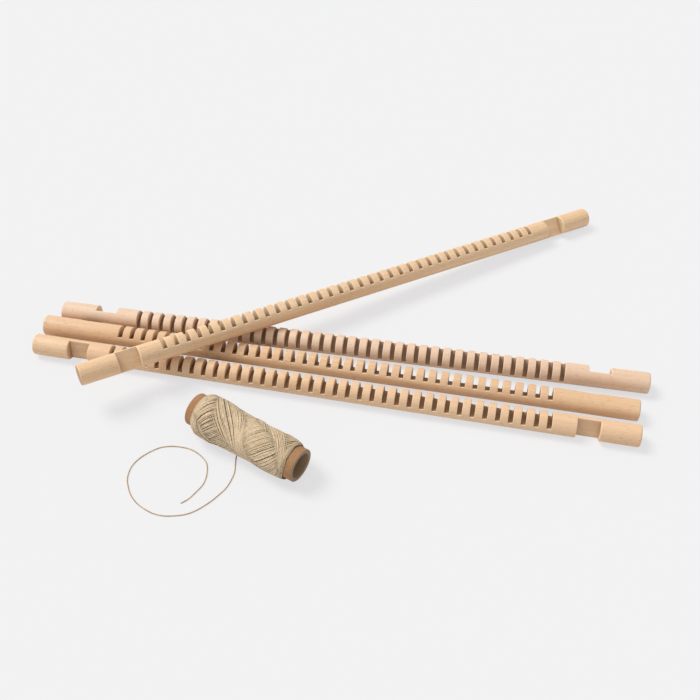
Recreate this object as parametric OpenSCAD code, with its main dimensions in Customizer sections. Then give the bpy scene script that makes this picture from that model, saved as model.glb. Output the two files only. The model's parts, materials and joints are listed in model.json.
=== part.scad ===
// Weaving frame: four identical notched rods and a spool of thread, laid out ready to use.
// Millimetres, +Z up, +X to the right, -Y towards the viewer.
// The origin is on the surface, under the middle of the box round the rods and the spool.

/* [Rods] */
// Length of each rod
rod_length = 400; // [380:1:600]
// Diameter of each rod
rod_d = 14; // [12:0.5:18]
// Rounding of the rims at the rods' ends
end_round = 1; // [0.4:0.1:2]

/* [Slits for the warp] */
// Distance from one slit to the next
slit_pitch = 8; // [6:0.5:16]
// Width of a slit
slit_w = 3; // [1.5:0.1:4]
// Depth of a slit
slit_depth = 7; // [4:0.5:8]
// Least wood left between a notch and the first slit
slit_land = 15; // [5:0.5:40]

/* [Notches that lock the corners] */
// Wood left between a rod's end and its notch
end_length = 25; // [10:0.5:50]
// Play of a rod across the notch that it lies in
notch_play = 0.2; // [0.1:0.05:0.6]

/* [How the rods lie] */
// Gap between the back and middle rods at their left ends
back_gap_left = 1.5; // [0.5:0.1:20]
// Gap between the back and middle rods at their right ends
back_gap_right = 11.3; // [0.5:0.1:20]
// Gap between the middle and front rods at their left ends
front_gap_left = 4.7; // [0.5:0.1:20]
// Gap between the middle and front rods at their right ends
front_gap_right = 7.2; // [0.5:0.1:20]
// How far the back rod lies to the right of the middle rod
back_shift = 6.65; // [-20:0.05:20]
// How far the front rod lies to the right of the middle rod
front_shift = 0.7; // [-20:0.05:20]
// Turn of the back rod's slits, from straight up towards the front
back_turn = 17; // [-60:1:60]
// Turn of the middle rod's slits, from straight up towards the front
middle_turn = -35; // [-60:1:60]
// Turn of the front rod's slits, from straight up towards the front
front_turn = -10; // [-60:1:60]
// Turn of the crossing rod's slits, from straight up towards the front
crossing_turn = -42; // [-60:1:60]
// Angle between the crossing rod and the back rod, seen from above
crossing_angle = 38; // [30:0.5:50]
// How far to the left of the back rod's middle the crossing rod rests on it
crossing_at = 61.3; // [20:0.1:100]
// Length of the crossing rod from its low end to the back rod
crossing_reach = 278.5; // [200:0.5:320]
// Gap kept between the crossing rod and the back rod that it rests on
rest_gap = 0.3; // [0.1:0.05:0.5]

/* [Spool] */
// Outer diameter of the cardboard tube
tube_od = 21.2; // [16:0.1:30]
// Wall of the cardboard tube
tube_wall = 2.5; // [1:0.1:4]
// Length of the cardboard tube
tube_length = 80; // [70:1:120]
// Bare tube at each end, beside the thread
tube_bare = 5; // [2:0.5:12]
// How far the spool lies to the left of the front rod's middle
spool_left = 36.35; // [0:0.05:80]
// How far the spool lies in front of the front rod
spool_front = 54.7; // [45:0.1:100]
// Turn of the spool, its right end towards the front
spool_turn = 21.66; // [0:0.02:45]

/* [Thread] */
// Diameter of the thread
thread_d = 0.75; // [0.5:0.05:1]
// Thickness of the inner thread in the left heap
heap_left = 1.45; // [0.5:0.05:5]
// Thickness of the inner thread in the right heap
heap_right = 0.5; // [0.4:0.05:5]
// Thickness of the inner thread between the heaps and at the ends
waist = 0.3; // [0.2:0.05:3]
// Distance from the thread's end on the tube to the nearest heap
heap_inset = 7; // [4:0.5:10]
// Width of the left heap
heap_left_w = 8; // [2:0.5:12]
// Width of the right heap
heap_right_w = 12; // [2:0.5:14]
// Length of each heap's slope down to the waist
heap_slope = 10; // [4:0.5:10]
// Round trips that the outer thread makes along the tube
wind_trips = 3; // [2:1:3]
// Turns in one round trip, before the part of a turn that sets the trips side by side
trip_turns = 8; // [4:1:8]
// Gap between the outer thread's turns where they cross
layer_gap = 0.53; // [0.53:0.01:1]
// Where the thread leaves the spool, to the left of the tube's middle
exit_left = 7; // [2:0.5:12]

/* [Hidden] */
$fn = 64;

rod_r = rod_d / 2;
tube_r = tube_od / 2;
thread_r = thread_d / 2;
// A cutter reaches this far past the wood.
cut_past = 1;
// Play between the tube and the thread wound on it, and between the inner and outer thread.
tube_play = 0.05;
seat_play = 0.25;

// Slits and notches, measured along a rod from its middle
notch_w = rod_d + notch_play;
notch_x = rod_length / 2 - end_length - notch_w / 2;
slit_room = 2 * (notch_x - notch_w / 2 - slit_land) - slit_w;
slit_count = floor(slit_room / slit_pitch) + 1;
slit_first = -(slit_count - 1) * slit_pitch / 2;

// The three lower rods lie side by side; the middle rod's centre is (0, 0) in plan here.
back_step_left = rod_d + back_gap_left;
back_step_right = rod_d + back_gap_right;
front_step_left = rod_d + front_gap_left;
front_step_right = rod_d + front_gap_right;
back_yaw = asin((back_step_right - back_step_left) / rod_length);
front_yaw = -asin((front_step_right - front_step_left) / rod_length);
middle_c = [0, 0, rod_r];
back_c = [back_shift, (back_step_left + back_step_right) / 2, rod_r];
front_c = [front_shift, -(front_step_left + front_step_right) / 2, rod_r];

// The crossing rod's low end touches the surface, and it rests on the back rod.
function low_end_z(slope) = (rod_r - end_round) * cos(slope) + end_round * (1 - sin(slope));
function rise_share(slope) =
    cos(slope) * sin(crossing_angle) / sqrt(pow(sin(slope), 2) + pow(cos(slope) * sin(crossing_angle), 2));
function crossing_rise(slope) = rod_r + (rod_d + rest_gap) / rise_share(slope) - low_end_z(slope);
function solve_slope(slope, steps) =
    steps == 0 ? slope : solve_slope(asin(crossing_rise(slope) / crossing_reach), steps - 1);
slope_steps = 8;
crossing_slope = solve_slope(0, slope_steps);
crossing_yaw = back_yaw + crossing_angle;
crossing_point = back_c - crossing_at * plan_dir(back_yaw);
crossing_plan = crossing_point
    + (crossing_reach - rod_length / 2) * cos(crossing_slope) * plan_dir(crossing_yaw);
crossing_c = [crossing_plan.x, crossing_plan.y,
              low_end_z(crossing_slope) + rod_length / 2 * sin(crossing_slope)];

function plan_dir(yaw) = [cos(yaw), sin(yaw), 0];
function axis_dir(slope, yaw) = [cos(slope) * cos(yaw), cos(slope) * sin(yaw), -sin(slope)];

// The inner thread's thickness along the tube: a heap near each end, with a waist between them.
wind_half = tube_length / 2 - tube_bare;
pile = [[-wind_half, waist],
        [-wind_half + heap_inset, heap_left],
        [-wind_half + heap_inset + heap_left_w, heap_left],
        [-wind_half + heap_inset + heap_left_w + heap_slope, waist],
        [wind_half - heap_inset - heap_right_w - heap_slope, waist],
        [wind_half - heap_inset - heap_right_w, heap_right],
        [wind_half - heap_inset, heap_right],
        [wind_half, waist]];
core_bore_r = tube_r + tube_play;
layer_step = thread_d + layer_gap;
function core_r(x) = core_bore_r + lookup(x, pile);
function inner_turn_r(x) = core_r(x) + seat_play + thread_r;
function spool_r(x) = inner_turn_r(x) + layer_step + thread_r;

// The spool rests on its two heaps, so its axis drops a little towards the lower heap.
heap_left_x = -wind_half + heap_inset + heap_left_w / 2;
heap_right_x = wind_half - heap_inset - heap_right_w / 2;
spool_slope = asin((heap_left - heap_right) / (heap_right_x - heap_left_x));
spool_yaw = -spool_turn;
spool_z = max([for (k = pile) spool_r(k.x) * cos(spool_slope) + k.x * sin(spool_slope)]);
spool_c = [front_c.x - spool_left, front_c.y - spool_front, spool_z];

// Half the size of a bar's box along one axis, and the box round everything but the loose thread
function bar_half(share, length, r, round_r) =
    (length / 2 - round_r) * abs(share) + (r - round_r) * sqrt(1 - share * share) + round_r;
spool_dir = axis_dir(spool_slope, spool_yaw);
bars = [[back_c, axis_dir(0, back_yaw), rod_length, rod_r, end_round],
        [middle_c, axis_dir(0, 0), rod_length, rod_r, end_round],
        [front_c, axis_dir(0, front_yaw), rod_length, rod_r, end_round],
        [crossing_c, axis_dir(crossing_slope, crossing_yaw), rod_length, rod_r, end_round],
        [spool_c, spool_dir, tube_length, tube_r, 0],
        [spool_c, spool_dir, 2 * wind_half, spool_r(wind_half), 0]];
function box_edge(i, side) =
    [for (b = bars) b[0][i] + side * bar_half(b[1][i], b[2], b[3], b[4])];
origin = [(min(box_edge(0, -1)) + max(box_edge(0, 1))) / 2,
          (min(box_edge(1, -1)) + max(box_edge(1, 1))) / 2,
          0];

// The outer thread's path on the spool. The tube's axis is X here; turn 0 is where it leaves.
rings_per_turn = 24;
winding_sides = 6;
turns_each_trip = trip_turns - 1 / wind_trips;
// The last part of a turn stays free, so the thread's start clears the place where it leaves.
free_turn = 0.2;
turns = wind_trips * turns_each_trip - free_turn;
winding_rings = floor(turns * rings_per_turn);
path_half = wind_half - thread_r;
// Near 1 the thread turns back sharply at the tube's ends; this rounds each turning place.
turn_back = 0.985;
// The thread changes level within this share of the swing, on each side of its turning place.
level_share = 0.113;
exit_phase = asin(sin(-exit_left / path_half * asin(turn_back)) / turn_back);
function phase(turn) = exit_phase + 360 * turn / turns_each_trip;
function along(turn) = path_half * asin(turn_back * sin(phase(turn))) / asin(turn_back);
function clamp01(v) = max(0, min(1, v));
function smooth(v) = v * v * (3 - 2 * v);
function level(turn) = smooth(clamp01(0.5 + 0.5 * cos(phase(turn)) / level_share));
function out_dir(turn) = [0, -sin(360 * turn), -cos(360 * turn)];
function on_spool(turn) =
    [along(turn), 0, 0] + (inner_turn_r(along(turn)) + layer_step * level(turn)) * out_dir(turn);
function unit(v) = v / norm(v);
small_turn = 0.001;
function heading(turn) = unit(on_spool(turn + small_turn) - on_spool(turn - small_turn));

// Each end of the winding runs straight for one diameter.
winding_turns = [for (i = [winding_rings : -1 : 0]) -i / rings_per_turn];
winding_start = on_spool(winding_turns[0]) - thread_d * heading(winding_turns[0]);
winding_end = on_spool(0) + thread_d * heading(0);
winding_path = concat([winding_start], [for (t = winding_turns) on_spool(t)], [winding_end]);
winding_sideways = concat([out_dir(winding_turns[0])], [for (t = winding_turns) out_dir(t)], [out_dir(0)]);

// The least gap of the winding to itself, measured between its straight pieces
function seg_distance(a, b, c, d) =
    let (u = b - a, v = d - c, w = a - c,
         uu = u * u, uv = u * v, vv = v * v, uw = u * w, vw = v * w,
         area = uu * vv - uv * uv,
         s0 = area < 0.000001 ? 0.5 : clamp01((uv * vw - vv * uw) / area),
         t = clamp01((uv * s0 + vw) / vv),
         s = clamp01((uv * t - uw) / uu))
    norm(w + s * u - t * v);
near_by = 6 * thread_d;
function least_distance(path, skip) =
    min([for (i = [0 : len(path) - 2], j = [i + skip : 1 : len(path) - 2])
            if (norm(path[i] - path[j]) < near_by)
                seg_distance(path[i], path[i + 1], path[j], path[j + 1])]);

// The loose thread's route on the surface, from the spool's middle, chosen by hand
loose_route = [[-6, -6.5], [-4, -16.5], [-4, -22.5], [-5.5, -30], [-9, -37], [-12.5, -42.5],
               [-18, -49], [-23.5, -53], [-30.5, -55.5], [-36.5, -56.5], [-42.5, -56],
               [-47, -54.5], [-51.5, -52.5], [-56, -49.5], [-60, -45.5], [-63, -41],
               [-65.5, -36], [-66.5, -31], [-66.5, -26], [-65, -21], [-62, -16],
               [-58, -11.5], [-53.5, -8], [-47.5, -6], [-41.5, -5.5], [-36, -6],
               [-30.5, -8], [-26, -11], [-22.5, -14.5], [-20.5, -19.5], [-19.5, -25.5],
               [-20, -31], [-22.5, -37], [-25, -42], [-28.5, -46]];
// The thread's axis lies this high, so the eight-sided thread stays clear of the surface.
loose_z = thread_r + 0.025;
loose_sides = 8;
function to_plan(p) =
    let (c = cos(spool_slope), s = sin(spool_slope), q = [c * p.x + s * p.z, p.y, c * p.z - s * p.x])
    [cos(spool_yaw) * q.x - sin(spool_yaw) * q.y, sin(spool_yaw) * q.x + cos(spool_yaw) * q.y, q.z];
exit_point = spool_c + to_plan(winding_end);
exit_heading = to_plan(heading(0));
loose_points = concat([exit_point, exit_point + thread_d * exit_heading],
                      [for (p = loose_route) [spool_c.x + p.x, spool_c.y + p.y, loose_z]]);
// One point halfway along each span, on a smooth curve through its four neighbours
function half_way(p, i) = (9 * (p[i] + p[i + 1]) - p[i - 1] - p[i + 2]) / 16;
loose_last = len(loose_points) - 1;
loose_path = [for (i = [0 : loose_last])
                 each (i > 1 && i < loose_last - 1)
                     ? [loose_points[i], half_way(loose_points, i)]
                     : [loose_points[i]]];

// A closed tube of triangles along a path; each ring is square to the path, one corner sideways.
function path_dir(path, i) = unit(path[min(i + 1, len(path) - 1)] - path[max(i - 1, 0)]);
function ring(p, dir, side, r, sides) =
    let (a = unit(side - (side * dir) * dir), b = cross(dir, a))
    [for (k = [0 : sides - 1]) p + r * (cos(360 * k / sides) * a + sin(360 * k / sides) * b)];
module tube_along(path, sideways, r, sides) {
    last = len(path) - 1;
    points = [for (i = [0 : last]) each ring(path[i], path_dir(path, i), sideways[i], r, sides)];
    walls = [for (i = [0 : last - 1], k = [0 : sides - 1])
                let (a = i * sides + k, b = i * sides + (k + 1) % sides)
                each [[a, a + sides, b], [b, a + sides, b + sides]]];
    caps = [for (k = [1 : sides - 2])
               each [[0, k, k + 1], [last * sides, last * sides + k + 1, last * sides + k]]];
    polyhedron(points = points, faces = concat(walls, caps), convexity = 10);
}

// A round bar along X, its middle at the origin, with rounded rims
module round_bar(length, r, round_r) {
    rotate([0, 90, 0])
        translate([0, 0, -length / 2])
            rotate_extrude() {
                square([r - round_r, length]);
                translate([0, round_r])
                    square([r, length - 2 * round_r]);
                for (y = [round_r, length - round_r])
                    translate([r - round_r, y])
                        circle(r = round_r);
            }
}

module slit(x) {
    translate([x - slit_w / 2, -rod_r - cut_past, rod_r - slit_depth])
        cube([slit_w, rod_d + 2 * cut_past, slit_depth + cut_past]);
}

// A notch takes away half of the rod, so two rods lie flush where their notches meet.
module notch(x) {
    translate([x - notch_w / 2, -rod_r - cut_past, -rod_r - cut_past])
        cube([notch_w, rod_r + cut_past, rod_d + 2 * cut_past]);
}

// One rod along X: the slits open upwards and the notches open to the front.
module rod() {
    difference() {
        round_bar(rod_length, rod_r, end_round);
        for (i = [0 : slit_count - 1])
            slit(slit_first + i * slit_pitch);
        for (side = [-1, 1])
            notch(side * notch_x);
    }
}

// Lays a piece made along X at its place; an end-for-end rod has its notches at the back.
module lay(centre, slope, yaw, turn = 0, end_for_end = false) {
    translate(centre - origin)
        rotate([0, slope, yaw])
            rotate([turn, 0, 0])
                rotate([0, 0, end_for_end ? 180 : 0])
                    children();
}

module back_rod() {
    color([0.85, 0.70, 0.57])
        lay(back_c, 0, back_yaw, back_turn, true)
            rod();
}

module middle_rod() {
    color([0.84, 0.64, 0.45])
        lay(middle_c, 0, 0, middle_turn, true)
            rod();
}

module front_rod() {
    color([0.86, 0.71, 0.52])
        lay(front_c, 0, front_yaw, front_turn)
            rod();
}

module crossing_rod() {
    color([0.90, 0.77, 0.60])
        lay(crossing_c, crossing_slope, crossing_yaw, crossing_turn)
            rod();
}

module spool_tube() {
    color([0.71, 0.51, 0.34])
        lay(spool_c, spool_slope, spool_yaw)
            rotate([0, 90, 0])
                difference() {
                    cylinder(h = tube_length, r = tube_r, center = true);
                    cylinder(h = tube_length + 2 * cut_past, r = tube_r - tube_wall, center = true);
                }
}

module thread_core() {
    color([0.66, 0.56, 0.41])
        lay(spool_c, spool_slope, spool_yaw)
            rotate([0, 90, 0])
                rotate_extrude()
                    polygon(concat([[core_bore_r, -wind_half]],
                                   [for (k = pile) [core_r(k.x), k.x]],
                                   [[core_bore_r, wind_half]]));
}

module thread_winding() {
    echo("turns of the outer thread", turns);
    echo("least gap of the winding to itself", least_distance(winding_path, rings_per_turn / 2) - thread_d);
    color([0.76, 0.67, 0.51])
        lay(spool_c, spool_slope, spool_yaw)
            tube_along(winding_path, winding_sideways, thread_r, winding_sides);
}

module loose_thread() {
    color([0.76, 0.62, 0.44])
        translate(-origin)
            tube_along(loose_path, [for (p = loose_path) [0, 0, 1]], thread_r, loose_sides);
}

back_rod();
middle_rod();
front_rod();
crossing_rod();
spool_tube();
thread_core();
thread_winding();
loose_thread();
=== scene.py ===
# Weaving frame: four notched beech rods and a spool of linen thread on a pale surface.
# Metres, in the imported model's frame: +X along the rods, +Y away from the viewer, +Z up.
import json
import math
import random

import bmesh
import bpy
import numpy as np
from mathutils import Matrix, Vector


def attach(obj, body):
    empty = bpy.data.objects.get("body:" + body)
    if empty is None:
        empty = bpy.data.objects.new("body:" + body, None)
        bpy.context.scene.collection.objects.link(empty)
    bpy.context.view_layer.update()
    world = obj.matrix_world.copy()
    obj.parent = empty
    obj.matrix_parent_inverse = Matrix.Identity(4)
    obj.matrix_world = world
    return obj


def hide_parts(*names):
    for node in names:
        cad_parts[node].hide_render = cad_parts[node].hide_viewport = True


MM = 0.001

# Rods, as in the part's source
ROD_LENGTH = 400 * MM
ROD_R = 7 * MM
END_ROUND = 1 * MM
SLIT_COUNT = 37
SLIT_PITCH = 8 * MM
SLIT_W = 3 * MM
NOTCH_W = 14.2 * MM
NOTCH_X = 167.9 * MM
# The sawn rims are a little softened, more at the notches than at the slits.
SLIT_RIM = 0.45 * MM
NOTCH_RIM = 0.6 * MM
# How much painted shade darkens the sawn floors, in the narrow slits and in the wide notches
SLIT_SHADE = 0.9
NOTCH_SHADE = 0.12
ROD_SIDES = 72

# Spool and thread, as in the part's source
TUBE_R = 10.6 * MM
TUBE_WALL = 2.5 * MM
TUBE_LENGTH = 80 * MM
TUBE_BARE = 5 * MM
TUBE_RIM = 0.35 * MM
THREAD_D = 0.75 * MM
# The wound thread's outer radius along the spool, both in millimetres: a heap at each end, a waist between
SPOOL_RADII = [(-35, 11.7), (-34, 12.7), (-31, 14.2), (-28, 14.4), (-20, 14.4), (-14, 13.6),
               (-8, 13.2), (4, 13.1), (11, 13.0), (16, 13.35), (26, 13.4), (30, 13.2),
               (33, 12.7), (35, 11.6)]
# The thread leaves the spool this far left of its middle.
EXIT_LEFT = 7 * MM

# The loose thread's route on the surface, from the spool's middle
ROUTE_MM = [(-6, -6.5), (-4, -16.5), (-4, -22.5), (-5.5, -30), (-9, -37), (-12.5, -42.5),
            (-18, -49), (-23.5, -53), (-30.5, -55.5), (-36.5, -56.5), (-42.5, -56),
            (-47, -54.5), (-51.5, -52.5), (-56, -49.5), (-60, -45.5), (-63, -41),
            (-65.5, -36), (-66.5, -31), (-66.5, -26), (-65, -21), (-62, -16),
            (-58, -11.5), (-53.5, -8), (-47.5, -6), (-41.5, -5.5), (-36, -6),
            (-30.5, -8), (-26, -11), (-22.5, -14.5), (-20.5, -19.5), (-19.5, -25.5),
            (-20, -31), (-22.5, -37), (-25, -42), (-28.5, -46)]
# Height of the loose thread's middle line, and its steps from one point of the route to the next
LOOSE_Z = 0.4 * MM
STEPS_PER_POINT = 8

# The camera, solved from the four equal rods in the photograph
SENSOR_MM = 36
LENS_MM = 49.2
CAMERA_PLACE = (0.09525, -0.47688, 0.46477)
CAMERA_TILT = math.radians(44.66)
CAMERA_TURN = math.radians(11.30)

# Soft light from the upper left and a little behind, and an even light from all round
KEY_STRENGTH = 2.3
KEY_SPREAD = math.radians(26)
KEY_TILT = math.radians(35)
KEY_TURN = math.radians(-104)
SKY_STRENGTH = 0.55

# Edges sharper than this stay sharp in the shading.
SHARP_FROM = math.radians(50)
LATHE_SIDES = 96
THREAD_SIDES = 8

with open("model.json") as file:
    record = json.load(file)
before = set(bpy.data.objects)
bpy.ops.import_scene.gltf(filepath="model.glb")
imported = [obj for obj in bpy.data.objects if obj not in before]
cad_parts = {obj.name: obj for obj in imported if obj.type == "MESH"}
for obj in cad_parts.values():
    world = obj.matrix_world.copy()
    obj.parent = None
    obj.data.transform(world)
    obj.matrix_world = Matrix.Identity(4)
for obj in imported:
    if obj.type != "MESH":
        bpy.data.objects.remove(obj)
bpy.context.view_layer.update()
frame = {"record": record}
mounts = {mount["name"]: mount for mount in frame["record"]["mounts"]}


def add_object(name, data):
    made = bpy.data.objects.new(name, data)
    bpy.context.collection.objects.link(made)
    return made


def make_camera():
    data = bpy.data.cameras.new("photo_camera")
    data.sensor_width = SENSOR_MM
    data.lens = LENS_MM
    camera = add_object("photo_camera", data)
    camera.location = CAMERA_PLACE
    camera.rotation_euler = (CAMERA_TILT, 0, CAMERA_TURN)
    bpy.context.scene.camera = camera
    bpy.context.scene.view_settings.view_transform = "Standard"


# Node helpers

class Nodes:
    """A material's node tree, with short calls to add and join its nodes."""

    def __init__(self, name):
        self.material = bpy.data.materials.new(name)
        self.material.use_nodes = True
        self.tree = self.material.node_tree
        self.shader = self.tree.nodes["Principled BSDF"]

    def put(self, socket, value):
        if isinstance(value, bpy.types.NodeSocket):
            self.tree.links.new(value, socket)
        elif isinstance(value, (tuple, list)) and len(value) == 3 and socket.type == "RGBA":
            socket.default_value = (*value, 1)
        else:
            socket.default_value = value

    def add(self, kind, out=0, settings=(), **inputs):
        node = self.tree.nodes.new("ShaderNode" + kind)
        for key, value in dict(settings).items():
            setattr(node, key, value)
        for key, value in inputs.items():
            self.put(node.inputs[key.replace("_", " ")], value)
        return node.outputs[out]

    def math(self, how, a, b=0.0, c=0.0):
        node = self.tree.nodes.new("ShaderNodeMath")
        node.operation = how
        for socket, value in zip(node.inputs, (a, b, c)):
            self.put(socket, value)
        return node.outputs[0]

    def mix(self, share, a, b):
        node = self.tree.nodes.new("ShaderNodeMix")
        node.data_type = "RGBA"
        self.put(node.inputs[0], share)
        self.put(node.inputs[6], a)
        self.put(node.inputs[7], b)
        return node.outputs[2]

    def ranged(self, value, low, high, to_low=0.0, to_high=1.0):
        return self.add("MapRange", Value=value, From_Min=low, From_Max=high,
                        To_Min=to_low, To_Max=to_high)

    def stretched_noise(self, where, scale, seed, detail=4.0, rough=0.55, warp=0.0):
        mapped = self.add("Mapping", Vector=where, Location=(seed, seed * 0.37, seed * 0.71),
                          Scale=scale)
        return self.add("TexNoise", Vector=mapped, Scale=1.0, Detail=detail,
                        Roughness=rough, Distortion=warp)

    def noise_along(self, run, scale, detail):
        return self.add("TexNoise", settings={"noise_dimensions": "1D"},
                        W=self.math("MULTIPLY", run, scale), Scale=1.0, Detail=detail)

    def distance(self, a, b):
        node = self.tree.nodes.new("ShaderNodeVectorMath")
        node.operation = "DISTANCE"
        self.put(node.inputs[0], a)
        node.inputs[1].default_value = b
        return node.outputs[1]

    def attribute(self, name):
        return self.add("Attribute", out=2, settings={"attribute_name": name})

    def bump(self, height, strength, distance):
        return self.add("Bump", Height=height, Strength=strength, Distance=distance)

    def object_place(self):
        return self.add("TexCoord", out=3)

    def object_normal(self):
        return self.add("TexCoord", out=1)


# Materials

# Small pink spots near the back rod's right end: their places along the rod and round it
SPOT_R = 1.7 * MM
SPOT_PINK = (0.80, 0.42, 0.30)
SPOTS_ALONG = (-153.2 * MM, -167.3 * MM, -175.0 * MM)
SPOTS_TURN = math.radians(62)


def wood_look(name, light, dark, fleck, seed, end_grain, streak=0.5, spots=()):
    """Sanded beech: grain along the rod, short dark flecks, darker sawn end grain, painted shade on the
    slit and notch floors, and pale rims that are partly worn and partly a painted highlight.
    """
    n = Nodes(name)
    place = n.object_place()
    fibres = n.stretched_noise(place, (22, 900, 900), seed, 5, 0.6)
    bands = n.stretched_noise(place, (5, 150, 150), seed + 3, 3, 0.5, 0.6)
    along = n.stretched_noise(place, (9, 30, 30), seed + 7, 2, 0.5)
    dashes = n.stretched_noise(place, (260, 2300, 2300), seed + 11, 2, 0.5)
    rays = n.stretched_noise(place, (420, 1500, 1500), seed + 17, 1, 0.5)
    shade = n.math("MULTIPLY_ADD", fibres, streak, n.math("MULTIPLY", bands, 0.75))
    colour = n.mix(n.ranged(shade, 0.42, 0.84), light, dark)
    colour = n.mix(n.ranged(along, 0.35, 0.7, 0.0, 0.35), colour, dark)
    colour = n.mix(n.ranged(dashes, 0.62, 0.70, 0.0, 0.55), colour, fleck)
    colour = n.mix(n.ranged(rays, 0.66, 0.74, 0.0, 0.30), colour, fleck)
    for spot in spots:
        away = n.distance(place, spot)
        colour = n.mix(n.ranged(away, SPOT_R, 0.3 * SPOT_R, 0.0, 0.55), colour, SPOT_PINK)
    ends = n.add("SeparateXYZ", Vector=n.object_normal())
    sawn = n.ranged(n.math("ABSOLUTE", ends), 0.75, 0.95)
    pores = n.stretched_noise(place, (900, 2600, 2600), seed + 23, 3, 0.6)
    sawn_colour = n.mix(n.ranged(pores, 0.35, 0.7, 0.0, 0.6), end_grain,
                        tuple(c * 0.72 for c in end_grain))
    colour = n.mix(sawn, colour, sawn_colour)
    painted_cut_shade = n.attribute("painted_cut_shade")
    # Painted shade: the sawn floors of the slits, and a little of the notches, are darkened towards a deep
    # end-grain brown.
    colour = n.mix(n.math("MULTIPLY", painted_cut_shade, 0.7), colour, tuple(c * 0.42 for c in end_grain))
    # Pale rims: the softened sawn edges are lighter, partly from real wear of the sanded fibres and partly
    # a painted highlight where the rounding catches light.
    rim = n.attribute("rim")
    worn_and_highlit = n.math("MULTIPLY", rim, n.ranged(fibres, 0.3, 0.6, 0.35, 0.8))
    colour = n.mix(worn_and_highlit, colour, tuple(min(1.0, c * 1.12 + 0.05) for c in light))
    n.put(n.shader.inputs["Base Color"], colour)
    n.put(n.shader.inputs["Roughness"], n.ranged(fibres, 0.3, 0.7, 0.46, 0.62))
    n.shader.inputs["Specular IOR Level"].default_value = 0.35
    height = n.math("MULTIPLY_ADD", fibres, 0.6, n.math("MULTIPLY", dashes, 0.4))
    n.put(n.shader.inputs["Normal"], n.bump(height, 0.25, 0.15 * MM))
    return n.material


# The card strip's turns in each metre of the tube
CARD_TURNS = 34.0


def card_look():
    """Brown kraft card wound in a spiral, with a grey-brown cut edge."""
    n = Nodes("kraft_card")
    place = n.object_place()
    pulp = n.stretched_noise(place, (700, 700, 700), 2, 5, 0.6)
    cloud = n.stretched_noise(place, (90, 90, 90), 5, 3, 0.5)
    fibres = n.stretched_noise(place, (350, 1500, 1500), 9, 3, 0.6)
    parts = n.tree.nodes.new("ShaderNodeSeparateXYZ")
    n.put(parts.inputs[0], place)
    angle = n.math("ARCTAN2", parts.outputs[1], parts.outputs[2])
    forward = n.math("MULTIPLY", parts.outputs[0], CARD_TURNS)
    turn = n.math("MULTIPLY_ADD", angle, 1 / (2 * math.pi), forward)
    seam = n.ranged(n.math("ABSOLUTE", n.math("SUBTRACT", n.math("FRACT", turn), 0.5)),
                    0.0, 0.012, 1.0, 0.0)
    colour = n.mix(n.ranged(pulp, 0.3, 0.7), (0.43, 0.225, 0.105), (0.31, 0.150, 0.067))
    colour = n.mix(n.ranged(cloud, 0.4, 0.7, 0.0, 0.4), colour, (0.53, 0.31, 0.16))
    colour = n.mix(n.ranged(fibres, 0.62, 0.72, 0.0, 0.35), colour, (0.28, 0.13, 0.06))
    colour = n.mix(n.math("MULTIPLY", seam, 0.45), colour, (0.22, 0.10, 0.045))
    cut = n.attribute("cut")
    layers = n.stretched_noise(place, (300, 1800, 1800), 15, 4, 0.7)
    cut_colour = n.mix(n.ranged(layers, 0.3, 0.7), (0.36, 0.26, 0.18), (0.25, 0.17, 0.11))
    colour = n.mix(cut, colour, cut_colour)
    inner = n.attribute("inner")
    colour = n.mix(n.math("MULTIPLY", inner, 0.85), colour, (0.33, 0.24, 0.155))
    n.put(n.shader.inputs["Base Color"], colour)
    n.shader.inputs["Roughness"].default_value = 0.72
    n.shader.inputs["Specular IOR Level"].default_value = 0.25
    height = n.math("SUBTRACT", n.math("MULTIPLY", pulp, 0.4), seam)
    n.put(n.shader.inputs["Normal"], n.bump(height, 0.35, 0.1 * MM))
    return n.material


# The colour that the thread fades to between its turns, where little light comes
GAP_BROWN = (0.085, 0.055, 0.030)


def thread_look(name, light, dark, twist_pitch, side_shade):
    """Two-ply linen: light and dark fibres, twisted round the thread, with painted shade in the grooves
    between the plies, on the thread's sides and on the lower turns.
    """
    n = Nodes(name)
    place = n.object_place()
    run = n.attribute("run")
    around = n.attribute("around")
    plies = n.math("MULTIPLY", around, 2.0)
    twist = n.math("FRACT", n.math("MULTIPLY_ADD", run, 1 / twist_pitch, plies))
    groove = n.math("ABSOLUTE", n.math("MULTIPLY_ADD", twist, 2.0, -1.0))
    slubs = n.noise_along(run, 160.0, 4.0)
    tint = n.noise_along(run, 14.0, 2.0)
    fibres = n.stretched_noise(place, (2600, 2600, 2600), 4, 3, 0.7)
    colour = n.mix(n.ranged(slubs, 0.3, 0.72), light, dark)
    colour = n.mix(n.ranged(tint, 0.35, 0.7, 0.0, 0.5), colour, dark)
    # Painted shade in the groove between the two plies.
    colour = n.mix(n.ranged(groove, 0.62, 1.0, 0.0, 0.55), colour, tuple(c * 0.45 for c in dark))
    pale = tuple(min(1.0, c * 1.35) for c in light)
    colour = n.mix(n.ranged(fibres, 0.58, 0.75, 0.0, 0.35), colour, pale)
    # Painted shade on the thread's sides, towards the gaps between its turns.
    sides = n.ranged(n.attribute("facing"), 0.82, 0.05, 0.0, side_shade)
    colour = n.mix(sides, colour, GAP_BROWN)
    # Painted shade on the turns that lie under the others.
    colour = n.mix(n.math("MULTIPLY", n.attribute("sunk_shade"), 0.6), colour, GAP_BROWN)
    n.put(n.shader.inputs["Base Color"], colour)
    n.shader.inputs["Roughness"].default_value = 0.68
    n.shader.inputs["Specular IOR Level"].default_value = 0.3
    n.shader.inputs["Sheen Weight"].default_value = 0.15
    height = n.math("MULTIPLY_ADD", groove, -0.8, n.math("MULTIPLY", fibres, 0.5))
    n.put(n.shader.inputs["Normal"], n.bump(height, 0.5, 0.12 * MM))
    return n.material


# Rods

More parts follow.
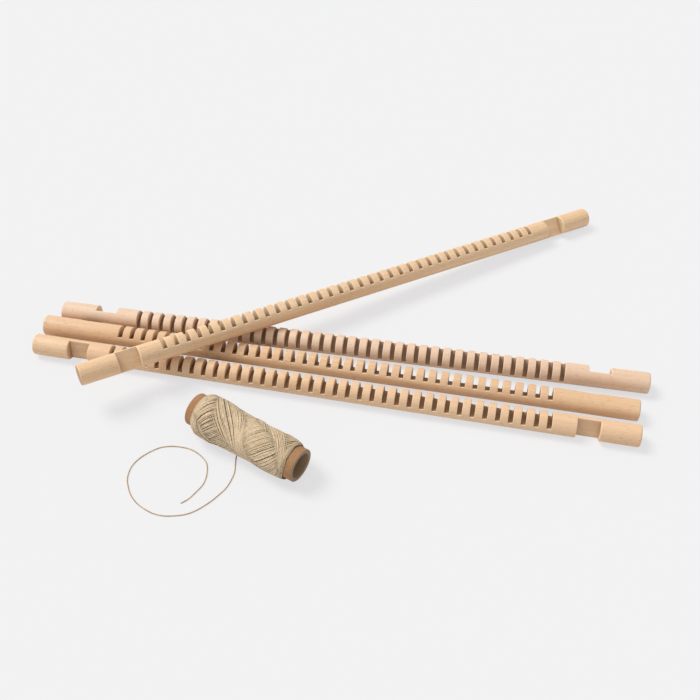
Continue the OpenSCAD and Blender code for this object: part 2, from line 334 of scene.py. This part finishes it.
def rod_place(name):
    """The rod's own frame, from its two notch floors: X along it, Z up through its slits."""
    left = Vector(mounts[name + "_left_notch"]["pos_m"])
    right = Vector(mounts[name + "_right_notch"]["pos_m"])
    back = -Vector(mounts[name + "_left_notch"]["axis"])
    along = (right - left).normalized()
    up = along.cross(back).normalized()
    if up.z < 0:
        along = -along
        up = -up
    side = up.cross(along)
    turn = Matrix((along, side, up)).transposed().to_4x4()
    return Matrix.Translation((left + right) / 2) @ turn


def half_angle(angles, opening):
    """Each corner's angle from the opening's direction, from -pi to pi."""
    return (angles - opening + math.pi) % (2 * math.pi) - math.pi


def cut_section(angles, opening, rim, shade):
    """The rod's half round section under a cut down to its axis, with softened edges."""
    off = half_angle(angles, opening)
    far = math.acos(1 - rim / ROD_R)
    near = math.asin(rim / ROD_R)
    share = np.clip((math.pi / 2 + near - np.abs(off)) / (far + near), 0, 1)
    p = np.minimum(ROD_R * np.cos(off), 0)
    q = ROD_R * np.sin(off)
    edge = (share > 0) & (share < 1)
    p = np.where(edge, -rim + rim * np.sin(share * math.pi / 2), p)
    q = np.where(edge, np.sign(off) * (ROD_R - rim + rim * np.cos(share * math.pi / 2)), q)
    y = p * math.cos(opening) - q * math.sin(opening)
    z = p * math.sin(opening) + q * math.cos(opening)
    # The cut's floor carries its share of painted shade, and its rounded edges part of the pale rim, which
    # is partly wear and partly painted highlight.
    painted_cut_shade = shade * (share >= 1)
    return y, z, edge.astype(float) * 0.6, painted_cut_shade


def rim_section(angles, opening, inset, rim):
    """The full round section beside a cut, drawn in by inset on the open side only."""
    off = half_angle(angles, opening)
    share = np.clip((math.pi / 2 + math.asin(rim / ROD_R) - np.abs(off)) / 0.35, 0, 1)
    radius = ROD_R - inset * share * share * (3 - 2 * share)
    # The share of the pale rim, partly wear and partly painted highlight.
    worn_and_highlit = share * min(1.0, inset / (0.25 * rim))
    return radius * np.cos(angles), radius * np.sin(angles), worn_and_highlit, 0 * off


def rod_rings(angles):
    """Rings along the rod: each is its place along X, its Y and Z, its rim share and its share of painted
    shade.
    """
    slit_open = math.pi / 2
    notch_open = math.pi
    first = -(SLIT_COUNT - 1) * SLIT_PITCH / 2
    cuts = [(first + i * SLIT_PITCH, SLIT_W, slit_open, SLIT_RIM, SLIT_SHADE)
            for i in range(SLIT_COUNT)]
    for side in (-1, 1):
        cuts.append((side * NOTCH_X, NOTCH_W, notch_open, NOTCH_RIM, NOTCH_SHADE))
    cuts.sort()
    rounding = [math.radians(a) for a in (90, 60, 30, 0)]
    softening = [math.radians(a) for a in (0, 45, 90)]
    rings = []

    def round_ring(x, turn):
        radius = ROD_R - END_ROUND * (1 - math.cos(turn))
        rings.append((x, radius * np.cos(angles), radius * np.sin(angles), 0 * angles, 0 * angles))

    def soft_ring(x, turn, opening, rim):
        rings.append((x, *rim_section(angles, opening, rim * (1 - math.cos(turn)), rim)))

    for turn in rounding:
        round_ring(-ROD_LENGTH / 2 + END_ROUND * (1 - math.sin(turn)), turn)
    for middle, width, opening, rim, shade in cuts:
        low = middle - width / 2
        high = middle + width / 2
        for turn in softening:
            soft_ring(low - rim * (1 - math.sin(turn)), turn, opening, rim)
        for x in (low, high):
            rings.append((x, *cut_section(angles, opening, rim, shade)))
        for turn in reversed(softening):
            soft_ring(high + rim * (1 - math.sin(turn)), turn, opening, rim)
    for turn in reversed(rounding):
        round_ring(ROD_LENGTH / 2 - END_ROUND * (1 - math.sin(turn)), turn)
    return rings


def rod_mesh():
    angles = np.arange(ROD_SIDES) * 2 * math.pi / ROD_SIDES
    rings = rod_rings(angles)
    bm = bmesh.new()
    rim_layer = bm.verts.layers.float.new("rim")
    painted_cut_shade_layer = bm.verts.layers.float.new("painted_cut_shade")
    rows = []
    for x, ys, zs, rims, painted_cut_shades in rings:
        row = []
        for y, z, rim, painted_cut_shade in zip(ys, zs, rims, painted_cut_shades):
            vert = bm.verts.new((x, y, z))
            vert[rim_layer] = rim
            vert[painted_cut_shade_layer] = painted_cut_shade
            row.append(vert)
        rows.append(row)
    for a, b in zip(rows, rows[1:]):
        for i in range(ROD_SIDES):
            j = (i + 1) % ROD_SIDES
            bm.faces.new((a[i], a[j], b[j], b[i]))
    bm.faces.new(rows[0][::-1])
    bm.faces.new(rows[-1])
    bmesh.ops.remove_doubles(bm, verts=bm.verts, dist=0.002 * MM)
    bmesh.ops.dissolve_degenerate(bm, edges=bm.edges, dist=0.001 * MM)
    bmesh.ops.recalc_face_normals(bm, faces=bm.faces)
    for face in bm.faces:
        face.smooth = True
    mesh = bpy.data.meshes.new("rod_form")
    bm.to_mesh(mesh)
    bm.free()
    mesh.set_sharp_from_angle(angle=SHARP_FROM)
    return mesh


def make_rods():
    spots = [(x, ROD_R * math.cos(SPOTS_TURN), ROD_R * math.sin(SPOTS_TURN)) for x in SPOTS_ALONG]
    looks = {
        "back_rod": wood_look("pink_beech", (0.890, 0.675, 0.505), (0.765, 0.525, 0.360),
                              (0.46, 0.25, 0.14), 1.3, (0.46, 0.24, 0.10), spots=spots),
        "middle_rod": wood_look("honey_beech", (0.880, 0.630, 0.410), (0.730, 0.460, 0.260),
                                (0.42, 0.21, 0.10), 12.1, (0.45, 0.22, 0.085)),
        "front_rod": wood_look("yellow_beech", (0.890, 0.635, 0.415), (0.745, 0.475, 0.275),
                               (0.45, 0.24, 0.12), 31.7, (0.46, 0.23, 0.09)),
        # The crossing rod's lighter base is partly its own straw tone and partly painted light, making up
        # for the key that reaches its front less.
        "crossing_rod": wood_look("straw_beech_with_painted_light", (0.950, 0.700, 0.470), (0.800, 0.530, 0.310),
                                  (0.45, 0.25, 0.12), 47.9, (0.52, 0.31, 0.155), 0.8),
    }
    shape = rod_mesh()
    for name, look in looks.items():
        mesh = shape.copy()
        mesh.materials.append(look)
        rod = add_object(name + "_wood", mesh)
        rod.matrix_world = rod_place(name)
        smooth = rod.modifiers.new("even_normals", "WEIGHTED_NORMAL")
        smooth.keep_sharp = True
        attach(rod, name)
        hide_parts(name)


# Spool

def spool_place():
    bore = mounts["spool_bore"]
    along = Vector(bore["axis"]).normalized()
    up = (Vector((0, 0, 1)) - along * along.z).normalized()
    side = up.cross(along)
    turn = Matrix((along, side, up)).transposed().to_4x4()
    return Matrix.Translation(Vector(bore["pos_m"])) @ turn


def lathe(name, profile, sides, values):
    """A closed surface round X from a closed profile of x and radius, with values for each row."""
    angles = np.arange(sides) * 2 * math.pi / sides
    xs, radii = np.array(profile).T
    points = np.stack([np.repeat(xs, sides),
                       np.outer(radii, np.cos(angles)).ravel(),
                       np.outer(radii, np.sin(angles)).ravel()], axis=1)
    rows = len(profile)
    faces = []
    for i in range(rows):
        low = i * sides
        high = (i + 1) % rows * sides
        for k in range(sides):
            ahead = (k + 1) % sides
            faces.append((low + k, high + k, high + ahead, low + ahead))
    mesh = bpy.data.meshes.new(name)
    mesh.from_pydata(points.tolist(), [], faces)
    for key, row_values in values.items():
        layer = mesh.attributes.new(key, "FLOAT", "POINT")
        layer.data.foreach_set("value", np.repeat(np.array(row_values, float), sides))
    mesh.polygons.foreach_set("use_smooth", [True] * len(mesh.polygons))
    mesh.set_sharp_from_angle(angle=SHARP_FROM)
    return mesh


def make_tube(place):
    half = TUBE_LENGTH / 2
    inner = TUBE_R - TUBE_WALL
    soft = TUBE_RIM
    profile = []
    cut = []
    inside = []

    def point(x, radius, cut_share, inner_share):
        profile.append((x, radius))
        cut.append(cut_share)
        inside.append(inner_share)

    steps = (-1, -0.5, 0, 0.5, 1)
    for share in steps:
        point(share * (half - soft), TUBE_R, 0, 0)
    point(half - 0.3 * soft, TUBE_R - 0.3 * soft, 0.6, 0)
    point(half, TUBE_R - soft, 1, 0)
    point(half, inner + soft, 1, 0)
    point(half - 0.3 * soft, inner + 0.3 * soft, 0.8, 0.5)
    for share in reversed(steps):
        point(share * (half - soft), inner, 0, 1)
    point(-half + 0.3 * soft, inner + 0.3 * soft, 0.8, 0.5)
    point(-half, inner + soft, 1, 0)
    point(-half, TUBE_R - soft, 1, 0)
    point(-half + 0.3 * soft, TUBE_R - 0.3 * soft, 0.6, 0)
    mesh = lathe("card_tube", profile, LATHE_SIDES, {"cut": cut, "inner": inside})
    mesh.flip_normals()
    mesh.materials.append(card_look())
    tube = add_object("card_tube", mesh)
    tube.matrix_world = place
    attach(tube, "spool")
    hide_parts("spool_tube")


def pile_radius(x):
    places, radii = np.array(SPOOL_RADII).T
    return np.interp(x / MM, places, radii) * MM


# The inner thread keeps this far inside the outer thread's ends and surface, and slopes at its ends.
CORE_SHORT = 1.5 * MM
CORE_SUNK = 1.25 * MM
CORE_SLOPE = 0.6


def make_core(place):
    half = TUBE_LENGTH / 2 - TUBE_BARE
    rows = 48
    xs = np.linspace(-half + CORE_SHORT, half - CORE_SHORT, rows)
    outer = []
    for x in xs:
        sloped = TUBE_R + 0.2 * MM + CORE_SLOPE * (xs[-1] - abs(x))
        outer.append((x, min(pile_radius(x) - CORE_SUNK, sloped)))
    profile = [(xs[0], TUBE_R + 0.05 * MM)] + outer + [(xs[-1], TUBE_R + 0.05 * MM)]
    mesh = lathe("inner_thread", profile, LATHE_SIDES, {})
    mesh.flip_normals()
    n = Nodes("shaded_inner_linen")
    where = n.object_place()
    lines = n.stretched_noise(where, (1500, 120, 120), 3, 3, 0.6, 0.4)
    # Painted shade: the inner thread is coloured near black for the shade it lies in under the outer
    # turns, where it shows through their gaps.
    n.put(n.shader.inputs["Base Color"],
          n.mix(n.ranged(lines, 0.35, 0.65), (0.055, 0.035, 0.020), (0.12, 0.080, 0.045)))
    n.shader.inputs["Roughness"].default_value = 0.85
    n.put(n.shader.inputs["Normal"], n.bump(lines, 0.8, 0.3 * MM))
    mesh.materials.append(n.material)
    core = add_object("inner_thread", mesh)
    core.matrix_world = place
    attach(core, "spool")
    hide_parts("thread_core")


def thread_tube(name, path, sideways, radius, sides, sunk_shade=0.0):
    """A closed tube along a path, with its running length and its turn round kept as attributes."""
    path = np.asarray(path)
    ahead = np.gradient(path, axis=0)
    ahead /= np.linalg.norm(ahead, axis=1, keepdims=True)
    side = sideways - (sideways * ahead).sum(1, keepdims=True) * ahead
    side /= np.linalg.norm(side, axis=1, keepdims=True)
    other = np.cross(ahead, side)
    angles = np.arange(sides) * 2 * math.pi / sides
    ring = (np.cos(angles)[None, :, None] * side[:, None, :]
            + np.sin(angles)[None, :, None] * other[:, None, :])
    points = (path[:, None, :] + radius * ring).reshape(-1, 3)
    rows = len(path)
    i, k = np.meshgrid(np.arange(rows - 1), np.arange(sides), indexing="ij")
    a = i * sides + k
    b = i * sides + (k + 1) % sides
    quads = np.stack([a, b, b + sides, a + sides], axis=-1).reshape(-1, 4).tolist()
    caps = [tuple(range(sides))[::-1], tuple(range((rows - 1) * sides, rows * sides))]
    mesh = bpy.data.meshes.new(name)
    mesh.from_pydata(points.tolist(), [], quads + caps)
    run = np.concatenate([[0], np.cumsum(np.linalg.norm(np.diff(path, axis=0), axis=1))])
    # The last value is how much painted shade the thread takes for lying under other turns.
    values = {"run": np.repeat(run, sides), "around": np.tile(np.arange(sides) / sides, rows),
              "facing": np.tile(np.cos(angles), rows), "sunk_shade": np.repeat(sunk_shade + 0 * run, sides)}
    for key, value in values.items():
        mesh.attributes.new(key, "FLOAT", "POINT").data.foreach_set("value", value)
    mesh.polygons.foreach_set("use_smooth", [True] * len(mesh.polygons))
    return mesh


# Turns of the outer thread in one trip there and back, and how far each trip lies beside the last
TRIP_TURNS = 3
TRIP_SHIFT = 0.0122
TRIPS = 82
RINGS_PER_TURN = 24
# The outer thread lies in this depth: each later trip lies a little over the ones before.
PILE_DEPTH = 0.5 * MM
# Threads that run to the right lie this much above or below those that run to the left.
PATCH_RISE = 0.28 * MM
# The trip is slower at the ends and a little right of the middle, where the threads stand steeper.
PACE_SWING = 0.105
PACE_PLACE = 0.12
TURNING = 0.94


def winding_path():
    """The thread on the spool: it runs to and fro, each trip beside and over the last."""
    random.seed(7)
    trip_turns = TRIP_TURNS + TRIP_SHIFT
    turns = TRIPS * trip_turns
    steps = int(turns * RINGS_PER_TURN)
    turn = np.linspace(-turns, 0, steps)
    half = TUBE_LENGTH / 2 - TUBE_BARE - THREAD_D / 2
    trip = turn / trip_turns
    knots = np.arange(-TRIPS - 1, 2)
    reach = np.interp(trip, knots, [random.uniform(0.94, 1.0) for _ in knots])
    sway = np.interp(trip * 3, np.arange(-3 * TRIPS - 3, 6),
                     [random.uniform(-0.35, 0.35) * MM for _ in range(3 * TRIPS + 9)])
    phase = math.pi + EXIT_LEFT / half * math.asin(TURNING) + 2 * math.pi * trip
    share = np.arcsin(TURNING * np.sin(phase)) / math.asin(TURNING)
    paced = share - PACE_SWING * (np.sin(2 * math.pi * (share - PACE_PLACE))
                                  + math.sin(2 * math.pi * PACE_PLACE))
    along = np.clip(half * reach * paced + sway, -half, half)
    angle = 2 * math.pi * turn
    # Patches where one direction lies on top, with sharp limits between them
    patch = np.sin(0.16 / MM * along + 2 * angle + 0.6)
    patch += 0.6 * np.sin(0.09 / MM * along - angle + 2.1)
    rise = PATCH_RISE * np.tanh(4 * patch) * np.tanh(3 * np.cos(phase))
    lift = PILE_DEPTH * trip / TRIPS
    radius = pile_radius(along) - THREAD_D / 2 - PATCH_RISE + rise + lift
    out = np.stack([0 * turn, -np.sin(angle), -np.cos(angle)], axis=1)
    path = out * radius[:, None]
    path[:, 0] = along
    # How much painted shade each turn takes for lying under the turns that cross it.
    sunk_shade = 0.5 - 0.5 * rise / PATCH_RISE
    return path, out, sunk_shade


def make_winding(place):
    path, out, sunk_shade = winding_path()
    mesh = thread_tube("wound_thread", path, out, THREAD_D / 2, THREAD_SIDES, sunk_shade)
    mesh.materials.append(thread_look("linen_thread", (0.940, 0.760, 0.525),
                                      (0.640, 0.460, 0.270), 2.4 * MM, 0.9))
    winding = add_object("wound_thread", mesh)
    winding.matrix_world = place
    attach(winding, "spool")
    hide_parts("thread_winding")


# Loose thread

def smooth_line(points, per_span):
    """A smooth curve through the points, with even steps inside each span."""
    points = np.asarray(points)
    padded = np.vstack([2 * points[0] - points[1], points, 2 * points[-1] - points[-2]])
    line = []
    for a, b, c, d in zip(padded, padded[1:], padded[2:], padded[3:]):
        for step in range(per_span):
            s = step / per_span
            line.append(0.5 * (2 * b + (c - a) * s + (2 * a - 5 * b + 4 * c - d) * s * s
                               + (3 * b - a - 3 * c + d) * s ** 3))
    line.append(points[-1])
    return np.array(line)


def make_loose_thread(place):
    middle = place.translation
    path = winding_path()[0]
    leaves = place @ Vector(path[-1])
    heading = Vector((0, -1, 0))
    heading.rotate(place.to_euler())
    points = [tuple(leaves), tuple(leaves + heading * THREAD_D)]
    points += [(middle.x + x * MM, middle.y + y * MM, LOOSE_Z) for x, y in ROUTE_MM]
    line = smooth_line(points, STEPS_PER_POINT)
    line[:, 2] = np.maximum(line[:, 2], LOOSE_Z)
    up = np.tile((0.0, 0.0, 1.0), (len(line), 1))
    mesh = thread_tube("free_thread", line, up, THREAD_D / 2, THREAD_SIDES)
    mesh.materials.append(thread_look("loose_linen", (0.66, 0.47, 0.28), (0.46, 0.30, 0.16),
                                      2.6 * MM, 0.0))
    loose = add_object("free_thread", mesh)
    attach(loose, "spool")
    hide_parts("loose_thread")


# Surroundings

# The surface is a plain pale one for every ray but the camera's own. To the camera most of its tone
# stays even, and only the rest takes shading, so that shadows on it look as pale as in the photograph.
FLOOR_WHITE = 0.887
FLOOR_COLOUR = 0.78
FLOOR_EVEN = 0.718
FLOOR_SHADED = 0.22


def make_floor():
    reach = 6.0
    mesh = bpy.data.meshes.new("floor")
    corners = [(-reach, -reach, 0), (reach, -reach, 0), (reach, reach, 0), (-reach, reach, 0)]
    mesh.from_pydata(corners, [], [(0, 1, 2, 3)])
    n = Nodes("pale_floor")
    seen = n.add("LightPath")
    n.put(n.shader.inputs["Base Color"],
          n.mix(seen, (FLOOR_COLOUR, FLOOR_COLOUR, FLOOR_COLOUR),
                (FLOOR_SHADED, FLOOR_SHADED, FLOOR_SHADED * 0.94)))
    n.shader.inputs["Roughness"].default_value = 1.0
    n.shader.inputs["Specular IOR Level"].default_value = 0.0
    even = FLOOR_WHITE * FLOOR_EVEN
    n.shader.inputs["Emission Color"].default_value = (even, even, even * 1.03, 1)
    n.put(n.shader.inputs["Emission Strength"], seen)
    mesh.materials.append(n.material)
    add_object("floor", mesh)


def make_light():
    world = bpy.data.worlds.new("studio")
    bpy.context.scene.world = world
    world.use_nodes = True
    sky = world.node_tree.nodes["Background"]
    sky.inputs["Color"].default_value = (1.0, 1.0, 1.0, 1)
    sky.inputs["Strength"].default_value = SKY_STRENGTH
    # What the camera sees past the surface's edge has the surface's own tone.
    nodes = world.node_tree.nodes
    links = world.node_tree.links
    seen = nodes.new("ShaderNodeBackground")
    seen.inputs["Color"].default_value = (FLOOR_WHITE, FLOOR_WHITE, FLOOR_WHITE, 1)
    rays = nodes.new("ShaderNodeLightPath")
    choice = nodes.new("ShaderNodeMixShader")
    links.new(rays.outputs["Is Camera Ray"], choice.inputs[0])
    links.new(sky.outputs[0], choice.inputs[1])
    links.new(seen.outputs[0], choice.inputs[2])
    links.new(choice.outputs[0], nodes["World Output"].inputs[0])
    data = bpy.data.lights.new("soft_key", "SUN")
    data.energy = KEY_STRENGTH
    data.angle = KEY_SPREAD
    lamp = add_object("soft_key", data)
    lamp.rotation_euler = (KEY_TILT, 0, KEY_TURN)


make_camera()
spool = spool_place()
make_loose_thread(spool)
make_rods()
make_tube(spool)
make_core(spool)
make_winding(spool)
make_floor()
make_light()
